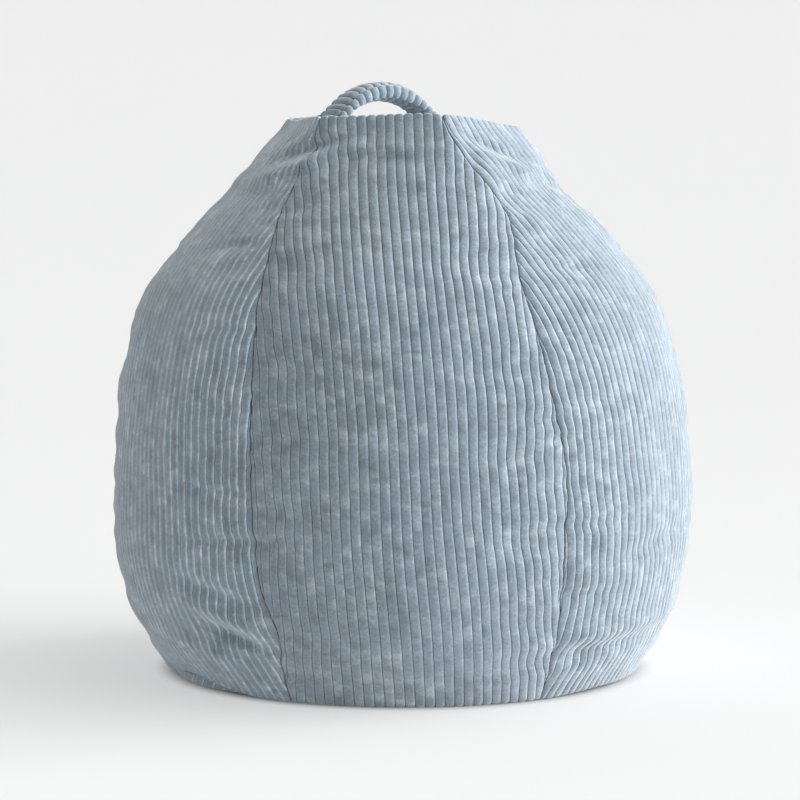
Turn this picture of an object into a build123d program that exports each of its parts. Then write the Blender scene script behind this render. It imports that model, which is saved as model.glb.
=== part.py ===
"""Bean bag chair: a six-gore corduroy cover with a hexagonal top, a carry handle and a zipped base,
over a zipped inner liner filled with foam beads.

Frame: millimetres, +Z up, origin at the middle of the base on the floor, front towards -Y.
"""

from build123d import *

import math
import os

# ---------------------------------------------------------------- driving dimensions
COVER_WIDTH = 660.0  # belly, from seam to opposite seam
COVER_HEIGHT = 630.0  # floor to the upper face of the top panel
BASE_RADIUS = 272.0  # seam between the gores and the base
CAP_RADIUS = 141.0  # top panel, centre to corner
CLOTH = 4.0  # corduroy, backing and pile together
LINER_CLOTH = 1.0
GORES = 6
SEAM_GAP = 0.4  # clear space between neighbouring gores, measured along the seam ring

BELLY_TWIST_HEIGHT = 270.0  # the gores stand untwisted here
BASE_TWIST = 3.5  # degrees, counter-clockwise seen from above
CAP_TWIST = -12.0

# Sections through the cover, from base to neck: height and seam radius, each as a share of
# COVER_HEIGHT and of half COVER_WIDTH, then how far the middle of a gore stands out, as a share
# of its seam radius (0.866 is a flat hexagon side, 1 is a circle).
SECTIONS = [
    (0.005, BASE_RADIUS / (COVER_WIDTH / 2), 0.995),
    (0.045, 0.867, 1.0),
    (0.120, 0.943, 1.005),
    (0.210, 0.990, 1.010),
    (0.310, 1.000, 1.010),
    (0.455, 0.985, 1.010),
    (0.585, 0.945, 1.005),
    (0.695, 0.872, 0.995),
    (0.780, 0.748, 0.975),
    (0.870, 0.600, 0.945),
    (0.950, 0.485, 0.905),
    (1.000, CAP_RADIUS / (COVER_WIDTH / 2), 0.872),
]

# Base panels and the zip across them. Heights are from the floor.
BASE_CLOTH = 3.0
HEM_HEIGHT = 2.0  # folded edge of a panel beside the zip
HEM_WIDTH = 14.0
SLOT_HALF_WIDTH = 8.0
ZIP_LENGTH = 440.0
TAPE_WIDTH = 20.0
TAPE_THICKNESS = 0.6
COIL_WIDTH = 2.6
COIL_HEIGHT = 1.8
COIL_SLIT = 1.2  # between the two rows, where the slider's wedge passes
STOP_LENGTH = 5.0
SLIDER_LENGTH = 13.0
SLIDER_HALF_WIDTH = 5.4
SLIDER_PLATE = 0.8
CROWN_HEIGHT = 1.8
LINER_DROP = 7.5  # the liner's zip lies this far above the cover's
LINER_INSET = CLOTH + 2.0  # outer face of the cover to outer face of the liner
FILL_CLEARANCE = 4.5  # liner to beads

# Top panel: a shallow hexagonal tray that hangs inside the rim of the gores
PANEL_DROP = 6.0  # rim to the flat of the panel
PANEL_FLAT_RADIUS = 128.0  # centre to corner of the flat
PANEL_RIM_CLEARANCE = 0.6

# Carry handle: a padded strap with thin flat ends, stuffed where it arches between them
HANDLE_CENTRE = (-26.0, 0.0)  # on the top panel
HANDLE_TURN = 40.0  # degrees, counter-clockwise seen from above
HANDLE_WIDTH = 42.0
HANDLE_LENGTH = 164.0  # end to end, along the panel
HANDLE_END_THICKNESS = 6.0
HANDLE_RISE = 44.0  # panel to the arch's upper face
HANDLE_THICKNESS = 18.0  # at the crown of the arch
UPPER_HALF_SPAN = 76.0  # middle of the handle to where its upper face leaves the flat end
UPPER_FOOT_BEND = 8.0
LOWER_HALF_SPAN = 66.0  # middle of the handle to where its lower face leaves the panel
LOWER_FOOT_BEND = 12.0
HANDLE_EDGE_ROUND = 2.8
HANDLE_ARCH_HALF = 46.0  # half the length of the part that leans
HANDLE_PADDING_INSET = 2.5
HANDLE_LIFT = 0.1  # clear space between the strap and the panel

os.makedirs("parts", exist_ok=True)


def write(part, label):
    """Labels a finished piece and writes it as its own STEP file."""
    part.label = label
    export_step(part, f"parts/{label}.step")


def twist_at(height):
    """Turn of the gore seams about Z, in degrees, at a height above the floor."""
    if height < BELLY_TWIST_HEIGHT:
        return BASE_TWIST * (1 - height / BELLY_TWIST_HEIGHT)
    share = (height - BELLY_TWIST_HEIGHT) / (COVER_HEIGHT - BELLY_TWIST_HEIGHT)
    return CAP_TWIST * share**2


def ring_point(radius, degrees, height):
    """A point at an angle from the front, counter-clockwise seen from above."""
    angle = math.radians(degrees - 90)
    return (radius * math.cos(angle), radius * math.sin(angle), height)


def sections_between(low, high, inset):
    """Section heights, seam radii and mid-gore radii, inset from the cover's outer face."""
    found = []
    span = COVER_HEIGHT - BASE_CLOTH
    for height_share, radius_share, fullness in SECTIONS:
        level = (height_share - SECTIONS[0][0]) / (SECTIONS[-1][0] - SECTIONS[0][0])
        height = low + (high - low) * level
        seam = radius_share * COVER_WIDTH / 2 - inset
        middle = radius_share * COVER_WIDTH / 2 * fullness - inset
        found.append((height, BASE_CLOTH + span * level, seam, middle))
    return found


# ---------------------------------------------------------------- gores
def gore(label, direction, low, high, inset, cloth):
    """One curved panel between two seams, lofted through thin arcs at each section."""
    half = 180.0 / GORES
    with BuildPart() as panel:
        for height, twist_height, seam, middle in sections_between(low, high, inset):
            turn = direction + twist_at(twist_height)
            gap = math.degrees(SEAM_GAP / 2 / seam)
            left, right = turn - half + gap, turn + half - gap
            with BuildSketch(Plane.XY.offset(height)):
                with BuildLine():
                    outer = [
                        ring_point(seam, left, 0),
                        ring_point(middle, turn, 0),
                        ring_point(seam, right, 0),
                    ]
                    inner = [
                        ring_point(seam - cloth, left, 0),
                        ring_point(middle - cloth, turn, 0),
                        ring_point(seam - cloth, right, 0),
                    ]
                    ThreePointArc(*outer)
                    Line(outer[2], inner[2])
                    ThreePointArc(*inner[::-1])
                    Line(inner[0], outer[0])
                make_face()
        loft()
    write(panel.part, label)


def hexagon_block(low, high, low_radius, high_radius):
    """A solid with a hexagonal foot and a larger hexagonal top, turned with the gores."""
    with BuildPart() as block:
        for height, radius in ((low, low_radius), (high, high_radius)):
            with BuildSketch(Plane.XY.offset(height)):
                RegularPolygon(radius, GORES, rotation=CAP_TWIST)
        loft(ruled=True)
    return block.part


def top_panel():
    """The cover's hexagonal top, a tray sewn into the rim of the gores."""
    flat = COVER_HEIGHT - PANEL_DROP
    middle = SECTIONS[-1][2] * CAP_RADIUS - CLOTH
    rim_radius = middle / math.cos(math.pi / GORES) - PANEL_RIM_CLEARANCE
    hollow = hexagon_block(flat, COVER_HEIGHT, PANEL_FLAT_RADIUS, rim_radius - CLOTH * 0.7)
    with BuildPart() as panel:
        add(hexagon_block(flat - CLOTH, COVER_HEIGHT, PANEL_FLAT_RADIUS - 2.0, rim_radius))
        add(hollow, mode=Mode.SUBTRACT)
    write(panel.part, "top_panel")


def liner_top():
    """The flat hexagon that closes the top of the liner."""
    radius = CAP_RADIUS - LINER_INSET
    write(hexagon_block(LINER_TOP, LINER_TOP + LINER_CLOTH, radius, radius), "liner_top")


# ---------------------------------------------------------------- base and zip
def base_panel(label, side, low, cloth, hem, radius):
    """Half of the round base, with the folded hem that the zip tape is sewn to."""
    with BuildPart() as panel:
        with BuildSketch(Plane.XY.offset(low)):
            Circle(radius)
            with Locations((0, -side * radius)):
                Rectangle(2 * radius, 2 * radius, mode=Mode.SUBTRACT)
            with Locations((0, 0)):
                Rectangle(2 * radius, SEAM_GAP, mode=Mode.SUBTRACT)
                Rectangle(ZIP_LENGTH, 2 * SLOT_HALF_WIDTH, mode=Mode.SUBTRACT)
        extrude(amount=cloth)
        with BuildSketch(Plane.XY.offset(low + cloth)):
            with Locations((0, side * (SLOT_HALF_WIDTH + HEM_WIDTH / 2))):
                Rectangle(ZIP_LENGTH + 2 * STOP_LENGTH, HEM_WIDTH)
        extrude(amount=hem)
    write(panel.part, label)


def zip_tape(label, side, level):
    """One woven tape, sewn over the hem and reaching in to the coil."""
    with BuildPart() as tape:
        with BuildSketch(Plane.XY.offset(level)):
            with Locations((0, side * (COIL_SLIT / 2 + TAPE_WIDTH / 2))):
                Rectangle(ZIP_LENGTH, TAPE_WIDTH)
        extrude(amount=TAPE_THICKNESS)
    write(tape.part, label)


def zip_coil(label, side, level):
    """One row of the coil, hanging under its tape's inner edge."""
    middle = side * (COIL_SLIT / 2 + COIL_WIDTH / 2)
    with BuildPart() as coil:
        with BuildSketch(Plane.XY.offset(level - COIL_HEIGHT)):
            with Locations((0, middle)):
                Rectangle(ZIP_LENGTH - 4 * STOP_LENGTH, COIL_WIDTH)
        extrude(amount=COIL_HEIGHT)
        fillet(coil.faces().sort_by(Axis.Z)[0].edges().filter_by(Axis.X), COIL_WIDTH * 0.3)
    write(coil.part, label)


def zip_stop(label, end, level):
    """The moulded stop that ends the coil."""
    middle = end * (ZIP_LENGTH / 2 - 1.4 * STOP_LENGTH)
    width = COIL_SLIT + 2 * COIL_WIDTH + 1.0
    with BuildPart() as stop:
        with BuildSketch(Plane.XY.offset(level - COIL_HEIGHT)):
            with Locations((middle, 0)):
                RectangleRounded(STOP_LENGTH, width, 0.9)
        extrude(amount=COIL_HEIGHT)
        fillet(stop.faces().sort_by(Axis.Z)[0].edges(), 0.4)
    write(stop.part, label)


def slider_position():
    """Where the slider's middle lies along X with the zip closed."""
    return ZIP_LENGTH / 2 - 2 * STOP_LENGTH - SLIDER_LENGTH / 2 - 0.5


def zip_slider(label, level):
    """The child-safe slider: two plates, side flanges, a wedge between the coils, and a crown
    with an eye for a paper clip instead of a pull tab."""
    centre = slider_position()
    lower_face = level - COIL_HEIGHT - 0.2
    upper_face = level + TAPE_THICKNESS + 0.2
    flange_top = level - 0.2
    flange = SLIDER_HALF_WIDTH - (COIL_SLIT / 2 + COIL_WIDTH) - 0.3
    with BuildPart() as slider:
        for bottom in (lower_face - SLIDER_PLATE, upper_face):
            with BuildSketch(Plane.XY.offset(bottom)):
                with Locations((centre, 0)):
                    RectangleRounded(SLIDER_LENGTH, 2 * SLIDER_HALF_WIDTH, 2.2)
            extrude(amount=SLIDER_PLATE)
        with BuildSketch(Plane.XY.offset(lower_face)):
            with Locations(
                (centre, SLIDER_HALF_WIDTH - flange / 2),
                (centre, flange / 2 - SLIDER_HALF_WIDTH),
            ):
                Rectangle(SLIDER_LENGTH - 4.4, flange)
        extrude(amount=flange_top - lower_face)
        with BuildSketch(Plane.XY.offset(lower_face)):
            with Locations((centre, 0)):
                SlotOverall(4.0, COIL_SLIT - 0.5)
        extrude(amount=upper_face - lower_face)
        with BuildSketch(Plane.XZ.offset(-1.1)):
            with Locations((centre, lower_face - SLIDER_PLATE - CROWN_HEIGHT / 2)):
                RectangleRounded(8.0, CROWN_HEIGHT + 0.6, 0.6)
        extrude(amount=2.2)
        with BuildSketch(Plane.XZ.offset(-1.1)):
            with Locations((centre, lower_face - SLIDER_PLATE - CROWN_HEIGHT / 2 + 0.1)):
                RectangleRounded(5.6, CROWN_HEIGHT - 0.8, 0.35)
        extrude(amount=2.2, mode=Mode.SUBTRACT)
    write(slider.part, label)


def zip_fastener(prefix, level):
    """A whole zip: two tapes, two rows of coil, two stops and the slider."""
    for side, word in ((-1, "front"), (1, "back")):
        zip_tape(f"{prefix}_tape_{word}", side, level)
        zip_coil(f"{prefix}_coil_{word}", side, level)
    for end, word in ((-1, "left"), (1, "right")):
        zip_stop(f"{prefix}_stop_{word}", end, level)
    zip_slider(f"{prefix}_slider", level)


# ---------------------------------------------------------------- handle
def handle_plane(along=0.0, across=0.0, facing="side"):
    """A vertical plane at the handle, standing on the top panel: facing its side or its end."""
    turn = math.radians(HANDLE_TURN)
    run = Vector(math.cos(turn), math.sin(turn), 0)
    side = Vector(math.sin(turn), -math.cos(turn), 0)
    middle = Vector(*HANDLE_CENTRE, COVER_HEIGHT - PANEL_DROP) + run * along + side * across
    if facing == "side":
        return Plane(origin=middle, x_dir=run, z_dir=side)
    return Plane(origin=middle, x_dir=side, z_dir=run)


def strap_face(flat_level, crown, half_span, bend):
    """Draws one face of the strap from end to end: flat, a bend up, the arch, a bend down, flat.
    Returns its two end points."""
    bend_level = flat_level + bend
    height = crown - bend_level
    arch = (half_span**2 - bend**2 + height**2) / (2 * (bend + height))
    slope = math.atan2(half_span, bend_level - (crown - arch))

    def on_arch(angle):
        return (arch * math.sin(angle), crown - arch + arch * math.cos(angle))

    def on_bend(angle, side):
        return (side * (half_span - bend * math.sin(angle)), bend_level - bend * math.cos(angle))

    for side in (-1, 1):
        Line((side * HANDLE_LENGTH / 2, flat_level), on_bend(0, side))
        ThreePointArc(on_bend(0, side), on_bend(slope / 2, side), on_arch(side * slope))
    ThreePointArc(on_arch(-slope), on_arch(0), on_arch(slope))
    return [(side * HANDLE_LENGTH / 2, flat_level) for side in (-1, 1)]


def strap_blank(inset):
    """The whole strap in one piece, end to end, inset from its outer faces."""
    width = HANDLE_WIDTH - 2 * inset
    end_thickness = max(HANDLE_END_THICKNESS - 2 * inset, 1.0)
    lower_level = HANDLE_LIFT + inset
    with BuildPart() as blank:
        with BuildSketch(handle_plane(across=-width / 2)):
            with BuildLine():
                upper = strap_face(
                    lower_level + end_thickness,
                    HANDLE_RISE - inset,
                    UPPER_HALF_SPAN - inset,
                    UPPER_FOOT_BEND + inset,
                )
                lower = strap_face(
                    lower_level,
                    HANDLE_RISE - HANDLE_THICKNESS + inset,
                    LOWER_HALF_SPAN + inset,
                    LOWER_FOOT_BEND - inset,
                )
                Line(upper[0], lower[0])
                Line(upper[1], lower[1])
            make_face()
        extrude(amount=width)
        if inset == 0:
            end_edges = blank.faces().filter_by(handle_plane(facing="end")).edges()
            side_edges = blank.faces().filter_by(handle_plane()).edges()
            fillet([edge for edge in side_edges if edge not in end_edges], HANDLE_EDGE_ROUND)
    return blank.part


def strap_stretch(blank, low, high):
    """The stretch of the strap between two places along it."""
    with BuildPart() as stretch:
        add(blank)
        split(bisect_by=handle_plane(along=low, facing="end"), keep=Keep.TOP)
        split(bisect_by=handle_plane(along=high, facing="end"), keep=Keep.BOTTOM)
    return stretch.part


def handle():
    """The arch with its padding, which lean together, and the two ends sewn to the panel."""
    blank = strap_blank(0.0)
    half = HANDLE_ARCH_HALF
    padding = strap_stretch(strap_blank(HANDLE_PADDING_INSET), 3.0 - half, half - 3.0)
    with BuildPart() as strap:
        add(strap_stretch(blank, -half, half))
        add(padding, mode=Mode.SUBTRACT)
    write(strap.part, "handle_strap")
    write(padding, "handle_padding")
    near, far = half + 0.3, HANDLE_LENGTH / 2 + 1
    write(strap_stretch(blank, -far, -near), "handle_end_left")
    write(strap_stretch(blank, near, far), "handle_end_right")


# ---------------------------------------------------------------- filling
def bead_fill():
    """The foam beads, packed to the liner's inner shape."""
    low = TAPE_LEVEL + LINER_DROP + FILL_CLEARANCE
    high = LINER_TOP - 1.0
    inset = LINER_INSET + LINER_CLOTH + FILL_CLEARANCE
    half = 180.0 / GORES
    with BuildPart() as beads:
        for height, twist_height, seam, middle in sections_between(low, high, inset):
            turn = twist_at(twist_height)
            with BuildSketch(Plane.XY.offset(height)):
                with BuildLine():
                    for number in range(GORES):
                        mid_gore = turn + number * 2 * half
                        ThreePointArc(
                            ring_point(seam, mid_gore - half, 0),
                            ring_point(middle, mid_gore, 0),
                            ring_point(seam, mid_gore + half, 0),
                        )
                make_face()
        loft()
    write(beads.part, "bead_fill")


# ---------------------------------------------------------------- the whole chair
DIRECTIONS = {
    "front": 0,
    "front_right": 60,
    "back_right": 120,
    "back": 180,
    "back_left": 240,
    "front_left": 300,
}
LINER_BASE = BASE_CLOTH + LINER_DROP - 1.5
LINER_TOP = COVER_HEIGHT - PANEL_DROP - CLOTH - 4.0
TAPE_LEVEL = BASE_CLOTH + HEM_HEIGHT
BASE_PANEL_RADIUS = BASE_RADIUS - 2.0

for place, direction in DIRECTIONS.items():
    gore(f"gore_{place}", direction, BASE_CLOTH, COVER_HEIGHT, 0.0, CLOTH)
    gore(
        f"liner_gore_{place}",
        direction,
        LINER_BASE + LINER_CLOTH,
        LINER_TOP,
        LINER_INSET,
        LINER_CLOTH,
    )
top_panel()
liner_top()
for side, word in ((-1, "front"), (1, "back")):
    base_panel(f"base_panel_{word}", side, 0.0, BASE_CLOTH, HEM_HEIGHT, BASE_PANEL_RADIUS)
    base_panel(
        f"liner_base_{word}",
        side,
        LINER_BASE,
        LINER_CLOTH,
        TAPE_LEVEL + LINER_DROP - LINER_BASE - LINER_CLOTH,
        BASE_PANEL_RADIUS - LINER_INSET,
    )
zip_fastener("zip", TAPE_LEVEL)
zip_fastener("liner_zip", TAPE_LEVEL + LINER_DROP)
handle()
bead_fill()
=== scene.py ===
"""Looks of the bean bag chair: corduroy gores with real ribs, a padded handle, the zipped base,
and the liner and beads inside. Metres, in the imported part's frame: +Z up, front towards -Y."""

import math

import bpy
import numpy as np
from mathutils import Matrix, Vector
from mathutils.bvhtree import BVHTree


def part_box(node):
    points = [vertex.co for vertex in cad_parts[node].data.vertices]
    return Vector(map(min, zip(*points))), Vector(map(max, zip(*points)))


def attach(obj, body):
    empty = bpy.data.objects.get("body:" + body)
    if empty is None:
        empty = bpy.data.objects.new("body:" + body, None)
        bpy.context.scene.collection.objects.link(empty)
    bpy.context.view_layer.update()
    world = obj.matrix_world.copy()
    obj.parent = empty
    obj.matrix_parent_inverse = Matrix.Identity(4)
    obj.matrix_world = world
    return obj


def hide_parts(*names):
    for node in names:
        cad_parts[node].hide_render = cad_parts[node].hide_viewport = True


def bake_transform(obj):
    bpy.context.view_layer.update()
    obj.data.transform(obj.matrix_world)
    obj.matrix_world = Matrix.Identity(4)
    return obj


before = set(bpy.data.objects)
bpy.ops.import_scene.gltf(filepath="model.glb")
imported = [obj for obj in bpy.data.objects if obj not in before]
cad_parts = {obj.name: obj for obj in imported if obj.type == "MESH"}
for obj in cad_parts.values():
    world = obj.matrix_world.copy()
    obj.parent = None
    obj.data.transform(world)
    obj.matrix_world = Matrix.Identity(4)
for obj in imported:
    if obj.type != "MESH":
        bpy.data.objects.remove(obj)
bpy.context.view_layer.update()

# ---------------------------------------------------------------- driving values
DIRECTIONS = {  # each gore's turn from the front, in degrees
    "front": 0,
    "front_right": 60,
    "back_right": 120,
    "back": 180,
    "back_left": 240,
    "front_left": 300,
}
HALF_GORE = 30.0  # degrees
COVER_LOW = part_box("gore_front")[0].z
COVER_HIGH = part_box("gore_front")[1].z
PANEL_LEVEL = COVER_HIGH - 0.006  # flat of the top panel
BASE_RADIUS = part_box("base_panel_front")[1].x
BELLY_TWIST_HEIGHT = 0.270
BASE_TWIST = 3.5  # degrees
CAP_TWIST = -12.0

WALE = 0.0108  # pitch of the ribs
RIB_HEIGHT = 0.0031
RIB_STEPS = (-0.5, -0.475, -0.435, -0.365, -0.26, -0.13, 0.0, 0.13, 0.26, 0.365, 0.435, 0.475)
ROW_STEP = 0.0029
SEAM_ROUND = 0.0034  # a rib rounds down into the seam over this distance
SEAM_DROP = 0.0007  # how far the cloth itself sinks at a seam
SKIRT = 0.005  # seam allowance that turns in
CLOTH = 0.0022  # backing, under the ribs
SEAM_MARGIN = 0.0006  # the last column of a ribbed cloth stays this far from its seam line
SEAM_REACH = 0.006  # the cloth starts to sink this far from a seam
RIB_VARIATION = (0.86, 1.06)  # heights of the ribs' stretches, as shares of the full height
VARIED_ROWS = 14  # rows in one such stretch
PATTERN_STEP = 1.7  # sets each piece's place in the cloth's pattern apart
RIB_STEP_OFF = 0.037  # and each rib's
ROLL = 0.0045  # radius of the cloth where it turns over at the rim
BASE_ROLL = 0.0065  # and where it turns under at the base
RIM_START = 0.0028  # from the highest point down to where the turn at the rim starts
BASE_START = 0.0005  # from the CAD gores' lower edge up to where the turn at the base starts

ACROSS = 32  # cells of the working grid over a gore
UP = 72
FAN = 97  # points across a gore that its rows are measured at

SIM_FRAMES = 22
SIM_REACH = 9  # rows either way that the slow bulge is averaged over
SIM_LIMIT = 0.0042  # no point moves further than this
SIM_EDGE = 5  # rows over which the waves fade out at the rim and at the base
SIM_MIDDLE = 0.25  # share of the waves left in the middle of a gore


# ---------------------------------------------------------------- small tools
def unit(vectors):
    """Vectors at length 1."""
    return vectors / np.maximum(np.linalg.norm(vectors, axis=-1, keepdims=True), 1e-12)


def bump(distance, reach):
    """1 at distance 0, fading smoothly to 0 about one reach away."""
    return np.exp(-((distance / reach) ** 2))


def azimuth_of(points):
    """Azimuths of points in degrees from the front, counter-clockwise seen from above."""
    return np.degrees(np.arctan2(points[..., 0], -points[..., 1]))


def aside(azimuth, turn):
    """Degrees from a turn to an azimuth, the short way round."""
    return (azimuth - turn + 180) % 360 - 180


def rounded(distance, reach):
    """A quarter round: 0 at distance 0, and 1 from one reach on."""
    return np.sqrt(np.clip(1 - (1 - np.clip(distance / reach, 0, 1)) ** 2, 0, 1))


def down_rows(values, shape):
    """One value for each row, spread over a whole array."""
    return np.broadcast_to(values[:, None], shape)


def sheet_faces(index, flip=False):
    """Quads over a grid of point numbers, facing the other way when flipped."""
    corners = [index[:-1, :-1], index[1:, :-1], index[1:, 1:], index[:-1, 1:]]
    if flip:
        corners = [corners[k] for k in (0, 3, 2, 1)]
    return np.stack(corners, -1).reshape(-1, 4).tolist()


def tube_index(rows, around):
    """Point numbers of rings of points, each with its first point again at its end."""
    index = np.arange(rows * around).reshape(rows, around)
    return np.column_stack([index, index[:, :1]])


def closed_tube(rows, around):
    """Faces of rings of points, with a fan at each end to one more point."""
    faces, total = sheet_faces(tube_index(rows, around), flip=True), rows * around
    faces += [(total, (j + 1) % around, j) for j in range(around)]
    start = total - around
    faces += [(total + 1, start + j, start + (j + 1) % around) for j in range(around)]
    return faces


def spline_weights(t):
    """Weights of a uniform cubic B-spline's four control points."""
    return (
        (1 - t) ** 3 / 6,
        (3 * t**3 - 6 * t**2 + 4) / 6,
        (-3 * t**3 + 3 * t**2 + 3 * t + 1) / 6,
        t**3 / 6,
    )


def spline_sample(grid, a, b):
    """Smooth surface through a grid of points, at fractional grid places a and b. It passes
    through the grid's border."""
    rows = np.concatenate([2 * grid[:1] - grid[1:2], grid, 2 * grid[-1:] - grid[-2:-1]])
    full = np.concatenate(
        [2 * rows[:, :1] - rows[:, 1:2], rows, 2 * rows[:, -1:] - rows[:, -2:-1]], axis=1
    )
    ia = np.clip(np.floor(a).astype(int), 0, grid.shape[0] - 2)
    ib = np.clip(np.floor(b).astype(int), 0, grid.shape[1] - 2)
    wa, wb = spline_weights(a - ia), spline_weights(b - ib)
    total = 0
    for p in range(4):
        for q in range(4):
            weight = wa[p] * wb[q]
            if grid.ndim == 3:
                weight = weight[..., None]
            total = total + weight * full[ia + p, ib + q]
    return total


class RingNoise:
    """Smooth noise over the cover, by azimuth in degrees and height in metres, about -1 to 1."""

    def __init__(self, seed, around, size):
        rng = np.random.default_rng(seed)
        self.around, self.size = around, size
        grid = rng.uniform(-1, 1, (around, int(0.9 / size) + 4))
        self.grid = np.concatenate([grid[-2:], grid, grid[:3]])

    def __call__(self, azimuth, height):
        a = (np.asarray(azimuth) % 360) / 360 * self.around + 2
        b = np.clip((np.asarray(height) + 0.1) / self.size, 0, self.grid.shape[1] - 1.001)
        return 1.9 * spline_sample(self.grid, a, b)


def add_object(name, points, faces, material, body, attributes=None, smooth=True):
    """A mesh object in the row frame that rides on a body."""
    mesh = bpy.data.meshes.new(name)
    mesh.from_pydata([tuple(p) for p in np.asarray(points).tolist()], [], faces)
    mesh.materials.append(material)
    mesh.polygons.foreach_set("use_smooth", [smooth] * len(mesh.polygons))
    for key, values in (attributes or {}).items():
        values = np.asarray(values, np.float32)
        kind = "FLOAT" if values.ndim == 1 else "FLOAT_VECTOR"
        field = "value" if values.ndim == 1 else "vector"
        mesh.attributes.new(key, kind, "POINT").data.foreach_set(field, values.ravel())
    mesh.validate()
    mesh.update()
    obj = bpy.data.objects.new(name, mesh)
    bpy.context.scene.collection.objects.link(obj)
    if body:
        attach(obj, body)
    return obj


# ---------------------------------------------------------------- materials
def node_tree(name):
    """A new material with its nodes, its links and its Principled shader."""
    material = bpy.data.materials.new(name)
    material.use_nodes = True
    nodes, links = material.node_tree.nodes, material.node_tree.links
    nodes.clear()
    shader = nodes.new("ShaderNodeBsdfPrincipled")
    output = nodes.new("ShaderNodeOutputMaterial")
    links.new(shader.outputs["BSDF"], output.inputs["Surface"])
    return material, nodes, links, shader


def noise_node(nodes, links, source, scale, detail=3.0, roughness=0.55, stretch=(1, 1, 1)):
    """A noise texture's factor, read at stretched coordinates."""
    mapping = nodes.new("ShaderNodeMapping")
    mapping.inputs["Scale"].default_value = stretch
    links.new(source, mapping.inputs["Vector"])
    noise = nodes.new("ShaderNodeTexNoise")
    noise.inputs["Scale"].default_value = scale
    noise.inputs["Detail"].default_value = detail
    noise.inputs["Roughness"].default_value = roughness
    links.new(mapping.outputs["Vector"], noise.inputs["Vector"])
    return noise.outputs["Fac"]


def ramp_node(nodes, links, source, stops):
    """A colour ramp over a factor. Stops are (place, colour or grey level)."""
    ramp = nodes.new("ShaderNodeValToRGB")
    elements = ramp.color_ramp.elements
    while len(elements) < len(stops):
        elements.new(0.5)
    for element, (place, colour) in zip(elements, stops):
        element.position = place
        rgb = (colour,) * 3 if isinstance(colour, (int, float)) else colour
        element.color = (*rgb, 1)
    links.new(source, ramp.inputs["Fac"])
    return ramp.outputs["Color"]


def math_node(nodes, links, operation, *values):
    """The result of a Math node on sockets or numbers."""
    node = nodes.new("ShaderNodeMath")
    node.operation = operation
    for socket, value in zip(node.inputs, values):
        if isinstance(value, bpy.types.NodeSocket):
            links.new(value, socket)
        else:
            socket.default_value = value
    return node.outputs[0]


def range_node(nodes, links, source, span, least=0.0, most=1.0, kind="LINEAR"):
    """Turns the range span of a value into least to most."""
    node = nodes.new("ShaderNodeMapRange")
    node.interpolation_type = kind
    for word, value in zip(("From Min", "From Max", "To Min", "To Max"), (*span, least, most)):
        node.inputs[word].default_value = value
    links.new(source, node.inputs["Value"])
    return node.outputs["Result"]


def attribute_node(nodes, name):
    """The node that reads one of the mesh's attributes."""
    node = nodes.new("ShaderNodeAttribute")
    node.attribute_name = name
    return node


def mix_node(nodes, links, kind, factor, first, second):
    """Mixes two colours, each a socket or a colour."""
    mix = nodes.new("ShaderNodeMix")
    mix.data_type = "RGBA"
    mix.blend_type = kind
    colours = [socket for socket in mix.inputs if socket.type == "RGBA"]
    for socket, value in (
        (mix.inputs["Factor"], factor), (colours[0], first), (colours[1], second),
    ):
        if isinstance(value, bpy.types.NodeSocket):
            links.new(value, socket)
        elif isinstance(value, (int, float)):
            socket.default_value = value
        else:
            socket.default_value = (*value, 1)
    return next(socket for socket in mix.outputs if socket.type == "RGBA")


def bump_node(nodes, links, height, distance, strength=1.0, normal=None):
    """A bump normal from a height, in metres at factor 1."""
    node = nodes.new("ShaderNodeBump")
    node.inputs["Strength"].default_value = strength
    node.inputs["Distance"].default_value = distance
    links.new(height, node.inputs["Height"])
    if normal is not None:
        links.new(normal, node.inputs["Normal"])
    return node.outputs["Normal"]


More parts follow.
